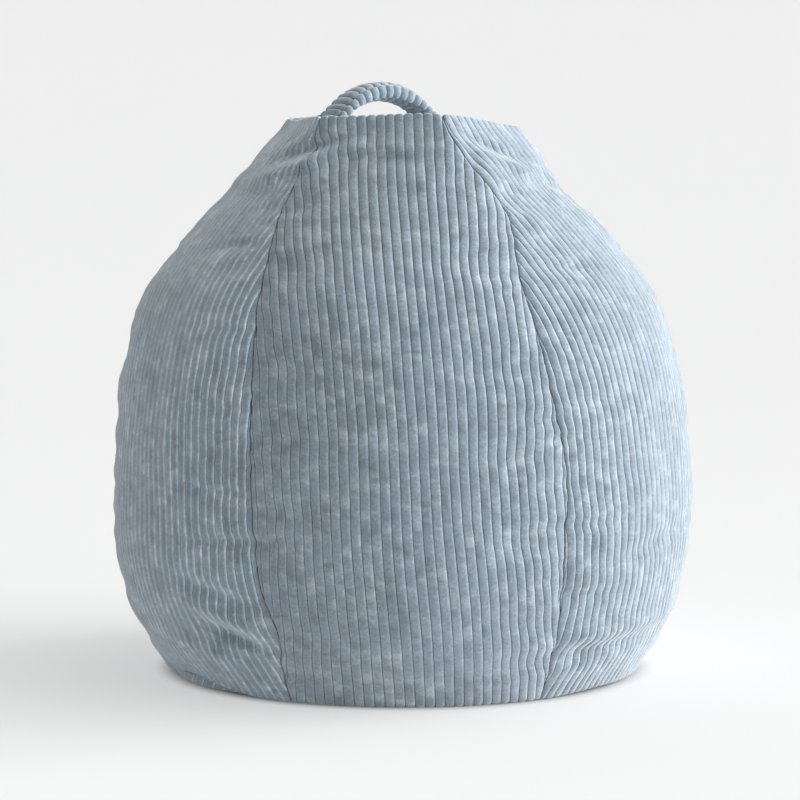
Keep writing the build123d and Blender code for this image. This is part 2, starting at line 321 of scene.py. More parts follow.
def corduroy_material():
    """Velvety cotton pile: mottled where the pile is turned, with painted shade down in the
    grooves and a painted sheen and highlight on the ribs' shoulders.
    """
    material, nodes, links, shader = node_tree("corduroy")
    along = attribute_node(nodes, "cloth").outputs["Vector"]
    place = nodes.new("ShaderNodeTexCoord").outputs["Object"]

    clouds = noise_node(nodes, links, place, 9.0, 4.0, 0.6)
    base = ramp_node(
        nodes, links, clouds,
        [
            (0.28, (0.246, 0.310, 0.358)), (0.50, (0.276, 0.344, 0.406)),
            (0.74, (0.318, 0.388, 0.464)),
        ],
    )
    # Nap brushed the other way: pale smudges that cross a few ribs, broken up rib by rib
    smudges = noise_node(nodes, links, along, 42.0, 5.0, 0.68, (0.75, 1.25, 0.3))
    turned = ramp_node(nodes, links, smudges, [(0.50, 0.0), (0.62, 0.55), (0.80, 1.0)])
    pale = mix_node(nodes, links, "MIX", turned, base, (0.470, 0.535, 0.590))
    shade = noise_node(nodes, links, along, 30.0, 4.0, 0.62, (0.9, 1.5, 0.5))
    dark = ramp_node(nodes, links, shade, [(0.30, 0.74), (0.50, 1.0), (0.75, 1.10)])
    mottled = mix_node(nodes, links, "MULTIPLY", 1.0, pale, dark)
    # Tufts of pile across each rib, a little lighter and darker
    tufts = noise_node(nodes, links, along, 300.0, 4.0, 0.72, (1.3, 0.95, 1.0))
    tuft_tone = ramp_node(nodes, links, tufts, [(0.28, 0.74), (0.72, 1.24)])
    tufted = mix_node(nodes, links, "MULTIPLY", 0.9, mottled, tuft_tone)
    # Painted shade down in each groove and painted sheen on each rib's shoulders, by the rib
    # attribute
    depth = ramp_node(
        nodes, links, attribute_node(nodes, "rib").outputs["Fac"],
        [
            (0.0, (0.10, 0.095, 0.09)), (0.20, (0.18, 0.175, 0.17)), (0.36, 0.90), (0.52, 1.14),
            (0.75, 1.08), (0.92, 0.92), (1.0, 0.87),
        ],
    )
    # Painted highlight: each rib's right shoulder is paler, as the light from the right falls on it
    right_shoulder_highlight = ramp_node(
        nodes, links, attribute_node(nodes, "shoulder_highlight").outputs["Fac"],
        [(0.0, 1.02), (0.60, 0.98), (0.78, 1.16), (0.91, 1.75), (1.0, 1.45)],
    )
    highlighted = mix_node(nodes, links, "MULTIPLY", 1.0, tufted, right_shoulder_highlight)
    colour = mix_node(nodes, links, "MULTIPLY", 1.0, highlighted, depth)
    links.new(colour, shader.inputs["Base Color"])

    pile = noise_node(nodes, links, place, 2300.0, 2.0, 0.7)
    normal = bump_node(nodes, links, pile, 0.0004, 0.6)
    normal = bump_node(nodes, links, tufts, 0.0011, 0.6, normal)
    links.new(normal, shader.inputs["Normal"])
    shader.inputs["Roughness"].default_value = 0.9
    shader.inputs["Specular IOR Level"].default_value = 0.2
    shader.inputs["Sheen Weight"].default_value = 1.0
    shader.inputs["Sheen Roughness"].default_value = 0.44
    shader.inputs["Sheen Tint"].default_value = (0.95, 0.975, 1.0, 1)
    return material


CORDUROY = corduroy_material()


# ---------------------------------------------------------------- the cover's shape
def twist_at(height):
    """Turn of the gore seams about Z at a height, in degrees, as the CAD gores have it."""
    low = BASE_TWIST * (1 - height / BELLY_TWIST_HEIGHT)
    share = (height - BELLY_TWIST_HEIGHT) / (COVER_HIGH - BELLY_TWIST_HEIGHT)
    return np.where(height < BELLY_TWIST_HEIGHT, low, CAP_TWIST * share**2)


def at_azimuth(radius, azimuth, height):
    """Points at azimuths in degrees from the front, counter-clockwise seen from above."""
    angle = np.radians(azimuth)
    return np.stack([radius * np.sin(angle), -radius * np.cos(angle), height + 0 * angle], -1)


def cover_tree():
    """A tree for casting rays at the six CAD gores."""
    points, faces = [], []
    for place in DIRECTIONS:
        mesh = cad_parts[f"gore_{place}"].data
        start = len(points)
        points += [v.co.copy() for v in mesh.vertices]
        faces += [[start + i for i in p.vertices] for p in mesh.polygons]
    return BVHTree.FromPolygons(points, faces)


def front_grid():
    """Outer face of the front CAD gore: grid[across, up], from seam to seam and base to rim, in
    even steps of angle across and of length up."""
    tree = cover_tree()

    def radius(azimuth, height):
        far = Vector(at_azimuth(0.5, azimuth, height).tolist())
        inward = Vector((-far.x, -far.y, 0)).normalized()
        hit = tree.ray_cast(far, inward)[0]
        return math.hypot(hit.x, hit.y)

    fine = np.linspace(COVER_LOW + BASE_START, COVER_HIGH - RIM_START, 160)
    middle = np.array([radius(float(twist_at(z)), z) for z in fine])
    length = np.concatenate([[0], np.cumsum(np.hypot(np.diff(middle), np.diff(fine)))])
    heights = np.interp(np.linspace(0, length[-1], UP + 1), length, fine)
    grid = np.zeros((ACROSS + 1, UP + 1, 3))
    for j, z in enumerate(heights):
        for i in range(ACROSS + 1):
            u = 2 * i / ACROSS - 1
            turn = float(twist_at(z))
            r = radius(turn + HALF_GORE * max(-0.985, min(0.985, u)), z)
            grid[i, j] = at_azimuth(r, turn + HALF_GORE * u, z)
    return grid


def turned(points, degrees):
    """Points turned about Z."""
    c, s = math.cos(math.radians(degrees)), math.sin(math.radians(degrees))
    return points @ np.array([[c, s, 0], [-s, c, 0], [0, 0, 1]])


def simulated(grids):
    """Blows the sewn cover up against its fill as cloth. Its seams are sewn a little short, so the
    cloth beside them puckers. Returns how far each grid point moves."""
    count = len(grids)
    ring = np.concatenate([g[:-1] for g in grids])
    around = len(ring)
    faces = [
        (i * (UP + 1) + j, ((i + 1) % around) * (UP + 1) + j,
         ((i + 1) % around) * (UP + 1) + j + 1, i * (UP + 1) + j + 1)
        for i in range(around) for j in range(UP)
    ]
    mesh = bpy.data.meshes.new("cover_cloth")
    mesh.from_pydata([tuple(p) for p in ring.reshape(-1, 3).tolist()], [], faces)
    cloth_object = bpy.data.objects.new("cover_cloth", mesh)
    bpy.context.scene.collection.objects.link(cloth_object)
    pinned = cloth_object.vertex_groups.new(name="pinned")
    sewn = cloth_object.vertex_groups.new(name="sewn")
    for i in range(around):
        from_seam = min(i % ACROSS, ACROSS - i % ACROSS)
        for j in range(UP + 1):
            index = [i * (UP + 1) + j]
            if j <= 1 or j >= UP - 1:
                pinned.add(index, 1.0, "REPLACE")
            if from_seam <= 1:
                sewn.add(index, 1.0 if from_seam == 0 else 0.45, "REPLACE")
    cloth = cloth_object.modifiers.new("Cloth", "CLOTH")
    settings = cloth.settings
    settings.quality = 6
    settings.mass = 0.15
    settings.tension_stiffness = 30
    settings.compression_stiffness = 30
    settings.shear_stiffness = 8
    settings.bending_stiffness = 1.2
    settings.tension_damping = settings.compression_damping = settings.shear_damping = 15
    settings.use_pressure = True
    settings.uniform_pressure_force = 6
    settings.effector_weights.gravity = 0
    settings.vertex_group_mass = "pinned"
    settings.shrink_min = -0.035
    settings.vertex_group_shrink = "sewn"
    settings.shrink_max = 0.05
    cloth.collision_settings.use_collision = False
    scene = bpy.context.scene
    scene.frame_start, scene.frame_end = 1, SIM_FRAMES
    cloth.point_cache.frame_start, cloth.point_cache.frame_end = 1, SIM_FRAMES
    for number in range(1, SIM_FRAMES + 1):
        scene.frame_set(number)
    evaluated = cloth_object.evaluated_get(bpy.context.evaluated_depsgraph_get())
    after = np.zeros(around * (UP + 1) * 3)
    evaluated.data.vertices.foreach_get("co", after)
    moved = after.reshape(around, UP + 1, 3) - ring
    bpy.data.objects.remove(cloth_object)
    scene.frame_set(1)
    moved = np.concatenate([moved, moved[:1]])
    return [moved[k * ACROSS : (k + 1) * ACROSS + 1] for k in range(count)]


def wrinkles(moved):
    """The short waves of the simulated cloth, without its slow bulge, each point held to the limit.
    They fade out at the rim and at the base, and are smaller away from the seams."""
    kernel = np.hanning(2 * SIM_REACH + 3)[1:-1]
    kernel = kernel / kernel.sum()
    padded = np.pad(moved, ((0, 0), (SIM_REACH, SIM_REACH), (0, 0)), mode="edge")
    slow = sum(weight * padded[:, k : k + UP + 1] for k, weight in enumerate(kernel))
    waves = moved - slow
    size = np.linalg.norm(waves, axis=-1, keepdims=True)
    rows = np.arange(UP + 1)
    from_seam = np.minimum(np.arange(ACROSS + 1), ACROSS - np.arange(ACROSS + 1)) / (ACROSS / 2)
    fade = np.clip(np.minimum(rows, UP - rows) / SIM_EDGE, 0, 1)[None, :, None]
    fade = fade * (SIM_MIDDLE + (1 - SIM_MIDDLE) * (1 - from_seam) ** 1.5)[:, None, None]
    return fade * waves * SIM_LIMIT * np.tanh(size / SIM_LIMIT) / np.maximum(size, 1e-9)


# ---------------------------------------------------------------- ribbed cloth
def rib_height(share):
    """Height of a rib at a share of its pitch from its middle line: broad, with round shoulders."""
    return np.sqrt(np.clip(1 - np.abs(2 * share) ** 3.1, 0, 1))


def zipped(low, low_at, high, high_at):
    """Triangles between two rows of points that both run the same way."""
    faces, i, j = [], 0, 0
    while i < len(low) - 1 or j < len(high) - 1:
        if j == len(high) - 1 or (i < len(low) - 1 and low_at[i + 1] <= high_at[j + 1]):
            faces.append((low[i], low[i + 1], high[j]))
            i += 1
        else:
            faces.append((low[i], high[j + 1], high[j]))
            j += 1
    return faces


def rib_columns(reach):
    """Distances from the middle line to every column of a ribbed cloth, and each one's rib."""
    count = int(reach / WALE) + 1
    ribs = np.repeat(np.arange(-count, count + 1), len(RIB_STEPS))
    shares = np.tile(RIB_STEPS, 2 * count + 1)
    return (ribs + shares) * WALE, ribs, shares


def seam_strip(index, edge, first, last):
    """Faces from the outermost columns to the seam line, on both sides of a ribbed cloth."""
    faces = []
    left, right = edge
    for j in range(len(index) - 1):
        for outermost, side in ((last, 1), (first, -1)):
            now, after = outermost[j], outermost[j + 1]
            between = range(min(now, after), max(now, after))
            if side * now >= side * after:
                faces += [(index[j + 1, after], index[j, i], index[j, i + 1]) for i in between]
            else:
                faces += [(index[j, now], index[j + 1, i + 1], index[j + 1, i]) for i in between]
            if side == 1:
                faces.append((index[j, now], right[j], right[j + 1], index[j + 1, after]))
            else:
                faces.append((left[j], index[j, now], index[j + 1, after], left[j + 1]))
    return faces


# Strength of these gores' painted highlight on each rib's right shoulder, against 1 for the rest
HIGHLIGHT_STRENGTHS = {"corduroy_gore_front": 0.72, "corduroy_gore_front_right": 0.88}


def ribbed_cloth(
    name, left, right, surface, rows_at, number, body,
    rib=RIB_HEIGHT, drop=SEAM_DROP, skirt=SKIRT, cloth=CLOTH, inner=10,
):
    """A closed piece of corduroy. Its ribs run up its rows, at a constant pitch from its middle
    line, and its seams cut them off. left and right are the rows' half widths. surface(distance)
    gives points, normals and each seam's own normals, row by row. rows_at is the length up."""
    distance, ribs, shares = rib_columns(max(left.max(), right.max()))
    valid = distance[None] > SEAM_MARGIN - left[:, None]
    valid &= distance[None] < right[:, None] - SEAM_MARGIN
    first, last = valid.argmax(1), valid.shape[1] - 1 - valid[:, ::-1].argmax(1)
    clipped = np.clip(distance[None], -left[:, None], right[:, None])
    points, normals = surface(clipped)
    seam_gap = np.minimum(clipped + left[:, None], right[:, None] - clipped)
    rounding = rounded(seam_gap, SEAM_ROUND)
    rng = np.random.default_rng(100 + number)
    varied = spline_sample(
        rng.uniform(
            *RIB_VARIATION, (len(distance) // len(RIB_STEPS) + 2, len(left) // VARIED_ROWS + 3),
        ),
        np.broadcast_to((ribs - ribs.min())[None] + 0.0, valid.shape),
        down_rows(np.arange(len(left)) / VARIED_ROWS, valid.shape),
    )
    raised = rib_height(shares)[None] * rounding * varied
    # Painted shade for the rib attribute: darker down in each groove and near the seams
    shade = rib_height(shares)[None] * (0.5 + 0.5 * rounding) * varied
    sink = rib * (1 - raised) + drop * bump(seam_gap, SEAM_REACH)
    outer = points - normals * sink[..., None]

    index = np.full(valid.shape, -1)
    index[valid] = np.arange(valid.sum())
    count = int(valid.sum())
    rows = len(left)
    seam_left, seam_left_normal = (a[:, 0] for a in surface(-left[:, None]))
    seam_right, seam_right_normal = (a[:, 0] for a in surface(right[:, None]))
    deep = rib + drop
    blocks, weave, tone = [outer[valid]], [], []
    # Painted highlight, paler towards each rib's right shoulder, at this piece's strength
    lean = HIGHLIGHT_STRENGTHS.get(name, 1.0)
    shoulder_highlight = lean * np.broadcast_to(shares + 0.5, valid.shape)[valid]
    along = down_rows(rows_at, valid.shape)
    offset = number * PATTERN_STEP
    weave.append(np.stack([np.broadcast_to(distance, valid.shape)[valid] + offset, along[valid],
                           np.broadcast_to(ribs, valid.shape)[valid] * RIB_STEP_OFF], -1))
    tone.append(shade[valid])
    places = {}
    sides = (
        ("left", seam_left, seam_left_normal, -left),
        ("right", seam_right, seam_right_normal, right),
    )
    for word, base, out, reach in sides:
        for layer, depth in (("edge", deep), ("skirt", deep + skirt)):
            places[word, layer] = count + np.arange(rows)
            blocks.append(base - out * depth)
            weave.append(np.stack([reach + offset, rows_at, 0 * rows_at], -1))
            tone.append(np.zeros(rows))
            count += rows
    shares_in = np.linspace(-1, 1, inner + 1)[1:-1]
    inside = np.where(shares_in < 0, shares_in * left[:, None], shares_in * right[:, None])
    in_points, in_normals = surface(inside)
    blocks.append((in_points - in_normals * (deep + cloth)).reshape(-1, 3))
    weave.append(
        np.stack([inside.ravel() + offset, np.repeat(rows_at, inner - 1), 0 * inside.ravel()], -1)
    )
    tone.append(np.zeros(inside.size))
    back = np.column_stack([
        places["left", "skirt"], count + np.arange(inside.size).reshape(inside.shape),
        places["right", "skirt"],
    ])

    solid = valid[:-1, :-1] & valid[1:, :-1] & valid[:-1, 1:] & valid[1:, 1:]
    quads = np.stack([index[:-1, :-1], index[:-1, 1:], index[1:, 1:], index[1:, :-1]], -1)[solid]
    faces = quads.tolist()
    faces += seam_strip(index, (places["left", "edge"], places["right", "edge"]), first, last)
    l_edge, l_skirt = places["left", "edge"], places["left", "skirt"]
    r_edge, r_skirt = places["right", "edge"], places["right", "skirt"]
    faces += np.stack([r_edge[:-1], r_skirt[:-1], r_skirt[1:], r_edge[1:]], -1).tolist()
    faces += np.stack([l_edge[:-1], l_edge[1:], l_skirt[1:], l_skirt[:-1]], -1).tolist()
    faces += sheet_faces(back)
    for j, flip in ((0, True), (rows - 1, False)):
        front = [l_edge[j], *index[j, first[j] : last[j] + 1], r_edge[j]]
        front_at = [-left[j], *distance[first[j] : last[j] + 1], right[j]]
        back_at = [-left[j], *inside[j], right[j]]
        pair = (back[j], back_at, front, front_at) if flip else (front, front_at, back[j], back_at)
        faces += zipped(*pair)
    faces = [tuple(int(i) for i in face) for face in faces]
    return add_object(
        name, np.concatenate(blocks), faces, CORDUROY, body,
        {"cloth": np.concatenate(weave), "rib": np.concatenate(tone),
         "shoulder_highlight": np.concatenate([shoulder_highlight, np.zeros(sum(len(block) for block in blocks[1:]))])},
    )


# ---------------------------------------------------------------- gores
# Folds, where the cloth creases: azimuth and height of the middle, half length in
# degrees, half width and depth in metres, and how much the fold climbs per degree. A negative
# depth is a ridge.
FOLDS = [
    (-6, 0.597, 15, 0.0065, -0.0044, 0.0000),
    (-6, 0.583, 17, 0.0075, 0.0056, 0.0000),
    (4, 0.566, 20, 0.0100, -0.0016, 0.0002),
    (-44, 0.592, 14, 0.0085, 0.0130, 0.0006),
    (-48, 0.572, 17, 0.0100, -0.0080, 0.0007),
    (-40, 0.545, 9, 0.0070, 0.0032, -0.0004),
    (42, 0.594, 13, 0.0080, 0.0085, -0.0009),
    (50, 0.575, 15, 0.0090, -0.0055, -0.0008),
    (62, 0.588, 10, 0.0070, 0.0030, 0.0006),
    (-47, 0.489, 11, 0.0062, 0.0042, 0.0005),
    (-44, 0.475, 10, 0.0080, -0.0018, 0.0005),
    (-38, 0.404, 9, 0.0062, 0.0040, -0.0003),
    (-34, 0.320, 7, 0.0058, 0.0026, 0.0004),
    (-37, 0.232, 7, 0.0060, 0.0026, -0.0003),
    (-36, 0.178, 10, 0.0066, 0.0040, 0.0003),
    (-39, 0.122, 9, 0.0080, 0.0055, -0.0014),
    (-38, 0.097, 8, 0.0100, -0.0058, -0.0014),
    (-36, 0.073, 8, 0.0095, 0.0100, -0.0014),
    (-43, 0.066, 7, 0.0220, 0.0070, 0.0000),
    (-46, 0.052, 12, 0.0090, -0.0030, -0.0008),
    (-24, 0.034, 10, 0.0070, 0.0030, 0.0003),
    (41, 0.466, 10, 0.0060, 0.0036, -0.0005),
    (37, 0.330, 7, 0.0055, 0.0026, -0.0003),
    (35, 0.195, 9, 0.0062, 0.0036, 0.0003),
    (38, 0.120, 9, 0.0065, 0.0034, -0.0004),
    (58, 0.168, 14, 0.0110, 0.0040, 0.0009),
    (46, 0.056, 17, 0.0080, 0.0055, 0.0003),
    (50, 0.074, 18, 0.0110, -0.0046, 0.0003),
    (22, 0.036, 8, 0.0065, 0.0030, 0.0004),
    (0, 0.030, 16, 0.0080, 0.0014, 0.0000),
    (-78, 0.052, 12, 0.0080, 0.0018, 0.0003),
    (150, 0.585, 22, 0.0095, 0.0045, 0.0001),
    (154, 0.567, 20, 0.0100, -0.0026, 0.0001),
    (215, 0.588, 18, 0.0085, 0.0040, -0.0001),
    (250, 0.575, 14, 0.0085, 0.0036, 0.0005),
    (205, 0.300, 9, 0.0065, 0.0030, 0.0003),
    (148, 0.220, 9, 0.0065, 0.0030, -0.0003),
    (120, 0.050, 24, 0.0080, 0.0048, 0.0001),
    (200, 0.052, 26, 0.0080, 0.0052, 0.0000),
    (262, 0.040, 20, 0.0080, 0.0045, 0.0001),
    (100, 0.140, 14, 0.0090, 0.0030, 0.0004),
]
TURN_STEPS = (0.2, 0.45, 0.75, 1.05, 1.4, 1.8)  # radians turned at each row of a turned edge
SLOPE_STEP = 0.12  # cells each way that a normal is measured over
BASE_FADE = 3.0  # rows over which the relief fades out at the base
LUMPS = RingNoise(3, 22, 0.09)
DIMPLES = RingNoise(5, 60, 0.034)
LUMP_SIZE, DIMPLE_SIZE = 0.0020, 0.0009
LUMPS_LEVEL, LUMPS_REACH = 0.31, 0.27  # where the lumps are largest, and how far they go
SWAY = RingNoise(7, 26, 0.075)
SWAY_SIZE = 0.0022  # how far a rib wanders sideways
PUCKERS_PER_SEAM = 21
PUCKER_LEVELS = (0.045, 0.585)
PUCKER_JITTER = 0.011
# A pucker's depth, its reach from the seam, its half width and its climb
PUCKER_LEAST = (0.0008, 0.014, 0.0042, -0.30)
PUCKER_MOST = (0.0032, 0.052, 0.0072, 0.30)
PUCKER_RIDGE = 0.4  # height of the ridges beside a pucker over its depth
PUCKER_DEPTH = 0.7
PUCKER_SHARE = (0.8, 1.0, 0.5, 0.8, 0.9, 0.6)  # each seam's share of the puckers' depth
SEAM_PULL = 0.0010
RIM_REACH = 0.034  # how far down the rim's softness goes
BASE_REACH = 0.06  # how far up the base's lifts go
SHOULDER = 0.545  # the rim's lifts start at this height
# Azimuth of the middle, half length in degrees, and size
BASE_LIFTS = [(-60, 17, 0.0112), (52, 12, 0.0024), (160, 18, 0.0045), (238, 14, 0.0040)]
RIM_LIFTS = [
    (8, 24, 0.0030), (80, 33, -0.0115), (128, 26, -0.0075), (-88, 24, -0.0045), (185, 36, -0.0045),
]
RIM_SOFTNESS = [(84, 28, 0.0060), (-82, 26, 0.0052), (180, 50, 0.0030)]


def around_total(list_of, azimuth):
    """Sum of bumps around the cover: azimuth, half length in degrees and size of each."""
    return sum(size * bump(aside(azimuth, turn), half) for turn, half, size in list_of)


def relief(azimuth, height, seam_gap, number):
    """How far the cloth stands out from the plain shape: the beads' lumps, the puckers along seam
    number, and the folds."""
    middle = bump(height - LUMPS_LEVEL, LUMPS_REACH)
    out = middle * (LUMP_SIZE * LUMPS(azimuth, height) + DIMPLE_SIZE * DIMPLES(azimuth, height))
    rng = np.random.default_rng(900 + 10 * number)
    levels = np.linspace(*PUCKER_LEVELS, PUCKERS_PER_SEAM)
    levels = levels + rng.uniform(-PUCKER_JITTER, PUCKER_JITTER, PUCKERS_PER_SEAM)
    for level in levels:
        depth, reach, width, climb = rng.uniform(PUCKER_LEAST, PUCKER_MOST)
        line = height - level - climb * seam_gap
        beside = bump(line - 2 * width, width) + bump(line + 2 * width, width)
        crease = bump(line, width) - PUCKER_RIDGE * beside
        out = out - PUCKER_SHARE[number] * PUCKER_DEPTH * depth * crease * bump(seam_gap, reach)
    for turn, level, half, width, depth, climb in FOLDS:
        along = aside(azimuth, turn)
        out = out - depth * bump(along, half) * bump(height - level - climb * along, width)
    rim = COVER_HIGH + around_total(RIM_LIFTS, azimuth)
    near_rim = np.clip(1 - (rim - height) / RIM_REACH, 0, 1)
    out = out - around_total(RIM_SOFTNESS, azimuth) * near_rim**2
    return out - SEAM_PULL * bump(seam_gap, 0.012)


def raised_by(azimuth, height):
    """How far the cover's lower edge stands up from the floor."""
    return around_total(BASE_LIFTS, azimuth) * np.clip(1 - height / BASE_REACH, 0, 1) ** 2


# Where the bag has slumped away from a true turned shape: azimuth and height of the middle, half
# length in degrees, half height, and how far out it stands.
SLUMPS = [
    (90, 0.556, 32, 0.038, -0.0150),
    (88, 0.440, 36, 0.090, -0.0045),
    (-90, 0.480, 36, 0.110, 0.0022),
    (84, 0.130, 36, 0.060, -0.0040),
    (150, 0.520, 34, 0.050, -0.0060),
    (-140, 0.470, 40, 0.080, 0.0040),
]


# Where a seam wanders sideways: azimuth and height of the middle, half length in degrees, half
# height, and how far round it goes in degrees.
WANDERS = [
    (28, 0.535, 20, 0.050, 8.5),
    (-32, 0.530, 16, 0.035, -2.5),
    (30, 0.250, 16, 0.060, 2.0),
    (-27, 0.080, 14, 0.030, 2.2),
    (92, 0.400, 20, 0.080, -2.0),
    (148, 0.520, 20, 0.050, 4.0),
    (210, 0.300, 20, 0.070, -2.5),
    (268, 0.480, 20, 0.060, 3.0),
]


def hills(hill_list, azimuth, height):
    """Sum of smooth hills over the cover."""
    return sum(
        size * bump(aside(azimuth, turn), half) * bump(height - level, tall)
        for turn, level, half, tall, size in hill_list
    )


def slumped(points):
    """Points of the plain shape, moved to where the bag has settled."""
    azimuth, height = azimuth_of(points), points[..., 2]
    radius = np.hypot(points[..., 0], points[..., 1]) + hills(SLUMPS, azimuth, height)
    high = np.clip((height - SHOULDER) / (COVER_HIGH - SHOULDER), 0, 1)
    level = height + around_total(RIM_LIFTS, azimuth) * high**2
    return at_azimuth(radius, azimuth + hills(WANDERS, azimuth, height), level)


def edge_normals(grids):
    """Normals along the seams: seam k is between gore k - 1 and gore k. Both gores use the same."""
    count, found = len(grids), []
    v = np.arange(UP + 1.0)
    for k in range(count):
        both = 0
        for grid, u in ((grids[k], 0.0), (grids[k - 1], float(ACROSS))):
            step = 0.4 if u == 0 else -0.4
            du = (
                spline_sample(grid, 0 * v + u + step, v) - spline_sample(grid, 0 * v + u, v)
            ) / step
            dv = spline_sample(grid, 0 * v + u, np.minimum(v + 0.3, UP)) - spline_sample(
                grid, 0 * v + u, np.maximum(v - 0.3, 0)
            )
            both = both + unit(np.cross(du, dv))
        found.append(unit(both))
    return found


def gore(number, place, grid, plain, seams):
    """One corduroy gore, its upper and lower edges turned over."""
    length = np.concatenate(
        [[0], np.cumsum(np.linalg.norm(np.diff(plain[ACROSS // 2], axis=0), axis=1))]
    )
    main = int(round(length[-1] / ROW_STEP))
    v_main = np.linspace(0, UP, main + 1)
    turn_steps = np.array(TURN_STEPS)
    v = np.concatenate([0 * turn_steps, v_main, 0 * turn_steps + UP])
    angle = np.concatenate([turn_steps[::-1], 0 * v_main, turn_steps])
    at_base = np.arange(len(v)) < len(turn_steps)
    radius = np.where(at_base, BASE_ROLL, ROLL)
    rows_at = np.interp(v, np.arange(UP + 1), length) + np.where(at_base, -1, 1) * angle * radius

    fan = np.linspace(0, ACROSS, FAN)
    ladder = spline_sample(plain, np.broadcast_to(fan, (len(v), FAN)), down_rows(v, (len(v), FAN)))
    steps = np.linalg.norm(np.diff(ladder, axis=1), axis=2)
    arc = np.concatenate([np.zeros((len(v), 1)), np.cumsum(steps, axis=1)], axis=1)
    arc = arc - arc[:, FAN // 2, None]
    left, right = -arc[:, 0], arc[:, -1]

    def surface(distance):
        """Points and normals at distances from the middle line, row by row."""
        reach = np.minimum(distance + left[:, None], right[:, None] - distance)
        across = np.stack([np.interp(distance[j], arc[j], fan) for j in range(len(v))])
        plain_at = spline_sample(plain, across, down_rows(v, across.shape))
        azimuth = azimuth_of(plain_at)
        sway = SWAY_SIZE * SWAY(azimuth, plain_at[..., 2]) * (1 - bump(reach, 0.02))
        moved = np.clip(distance + sway, -left[:, None], right[:, None])
        across = np.stack([np.interp(moved[j], arc[j], fan) for j in range(len(v))])
        up = down_rows(v, across.shape)

        def shape(a, b):
            point = spline_sample(grid, a, b)
            turn = azimuth_of(point)
            gap = np.minimum(a, ACROSS - a) / (ACROSS / 2) * left[:, None]
            side = np.where(a < ACROSS / 2, 0, 1)
            height = point[..., 2]
            seam_number = (number + side) % len(DIRECTIONS)
            stand = 0
            for which in {number, (number + 1) % len(DIRECTIONS)}:
                part = relief(turn, height, gap, which)
                stand = stand + np.where(seam_number == which, part, 0)
            fade = np.clip(b / BASE_FADE, 0, 1)
            out = unit(point * (1, 1, 0))
            lifted = raised_by(turn, height)
            lifts = np.stack([0 * lifted, 0 * lifted, lifted], -1)
            return point + out * (stand * fade)[..., None] + lifts

        here = shape(across, up)
        near, far = np.maximum(across - SLOPE_STEP, 0), np.minimum(across + SLOPE_STEP, ACROSS)
        below, above = np.maximum(up - SLOPE_STEP, 0), np.minimum(up + SLOPE_STEP, UP)
        du, dv = shape(far, up) - shape(near, up), shape(across, above) - shape(across, below)
        normal = unit(np.cross(du, dv))
        for side, at in ((0, 0.0), (1, float(ACROSS))):
            seam = seams[(number + side) % len(DIRECTIONS)]
            own = np.stack([np.interp(v, np.arange(UP + 1), seam[:, k]) for k in range(3)], -1)
            near = bump(np.abs(across - at) / (ACROSS / 2) * left[:, None], 0.007)[..., None]
            normal = unit(normal * (1 - near) + own[:, None] * near)
        tangent = unit(dv) * np.where(at_base, -1, 1)[:, None, None]
        tangent = unit(tangent - normal * (tangent * normal).sum(-1, keepdims=True))
        s, c = np.sin(angle)[:, None, None], np.cos(angle)[:, None, None]
        r = radius[:, None, None]
        return here + r * s * tangent - r * (1 - c) * normal, unit(normal * c + tangent * s)

    piece = ribbed_cloth(f"corduroy_gore_{place}", left, right, surface, rows_at, number, "cover")
    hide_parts(f"gore_{place}")


# ---------------------------------------------------------------- stage, camera and light
WORLD_FROM = (1.0, 0.35, -0.12)  # where the soft light comes from: the right, a little behind
WORLD_STOPS = [  # from the darkest side of the studio to the brightest
    (0.0, (0.036, 0.039, 0.036)), (0.5, (0.096, 0.100, 0.098)), (0.75, 0.46), (1.0, 1.90),
]
WORLD_STRENGTH = 4.9
KEY_STRENGTH = 2.5
KEY_ANGLE = 30  # degrees
KEY_FROM = (1.0, 0.50, 0.05)
FLOOR_TONE = 0.37
FLOOR_GLOW = 0.50
BACKDROP_GLOW = 0.535
GLOW_RISE = (0.9, 4.6)  # distances behind the bag between which one turns into the other
# Painted shade under the bag: the floor's glow is left out inside these distances
PAINTED_SHADE_UNDER = (0.250, 0.290)  # distances from the bag's middle between which the glow sets in
LENS = 138.2  # mm, on a 36 mm sensor
CAMERA_PLACE = (-0.0034, -3.5, COVER_HIGH)
CAMERA_TILT = 5.3  # degrees down


